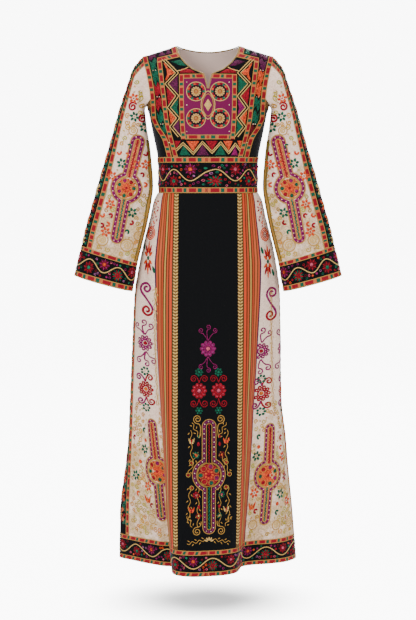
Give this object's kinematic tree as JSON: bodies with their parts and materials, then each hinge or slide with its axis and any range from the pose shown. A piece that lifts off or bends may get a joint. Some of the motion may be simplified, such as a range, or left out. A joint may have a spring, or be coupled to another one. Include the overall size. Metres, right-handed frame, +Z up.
{
  "type": "thobe dress",
  "caption": "Long embroidered robe with wide sleeves, a fitted bodice, a waistband and a flared panelled skirt, held hollow in its worn shape.",
  "frame": {"origin": "midway between the two neck points, on the line of the shoulder seams", "axes": "+Z up along the body, -Y towards the front of the dress, +X to the viewer's right"},
  "size_m": [0.7378, 0.3634, 1.4353],
  "materials": {
    "velvet": "matt pile",
    "patch_cloth": "stitched satin",
    "chest_silk": "satin",
    "cream_satin": "satin",
    "patch_band": "stitched satin",
    "striped_satin": "satin",
    "gold_braid": "metal thread braid",
    "woven_tape": "woven tape",
    "lining": "matt"
  },
  "bodies": {
    "root": {"bodice_back": "velvet", "belt": "velvet", "skirt_front_centre": "velvet", "skirt_back": "velvet", "hem_band": "velvet", "side_panel_right": "velvet", "side_panel_left": "velvet", "sleeve_back_right": "velvet", "sleeve_back_left": "velvet", "cuff_right": "velvet", "cuff_left": "velvet", "bodice_front": "patch_cloth", "chest_panel": "chest_silk", "sleeve_front_right": "cream_satin", "sleeve_front_left": "cream_satin", "skirt_cream_right": "cream_satin", "skirt_cream_left": "cream_satin", "sleeve_outer_band_right": "patch_band", "sleeve_outer_band_left": "patch_band", "skirt_side_band_right": "patch_band", "skirt_side_band_left": "patch_band", "skirt_stripes_right": "striped_satin", "skirt_stripes_left": "striped_satin", "neck_binding": "gold_braid", "skirt_braid_right": "gold_braid", "skirt_braid_left": "gold_braid", "skirt_edge_braid_right": "gold_braid", "skirt_edge_braid_left": "gold_braid", "underarm_tape_right": "gold_braid", "underarm_tape_left": "gold_braid", "chest_frame_tape": "woven_tape", "belt_top_tape": "woven_tape", "belt_bottom_tape": "woven_tape", "hem_top_tape": "woven_tape", "hem_bottom_tape": "woven_tape", "bodice_outer_tape_right": "woven_tape", "bodice_inner_tape_right": "woven_tape", "shoulder_tape_right": "woven_tape", "sleeve_tape_right": "woven_tape", "cuff_top_tape_right": "woven_tape", "cuff_bottom_tape_right": "woven_tape", "skirt_side_tape_right": "woven_tape", "bodice_outer_tape_left": "woven_tape", "bodice_inner_tape_left": "woven_tape", "shoulder_tape_left": "woven_tape", "sleeve_tape_left": "woven_tape", "cuff_top_tape_left": "woven_tape", "cuff_bottom_tape_left": "woven_tape", "skirt_side_tape_left": "woven_tape", "neck_lining": "lining"}
  },
  "joints": []
}
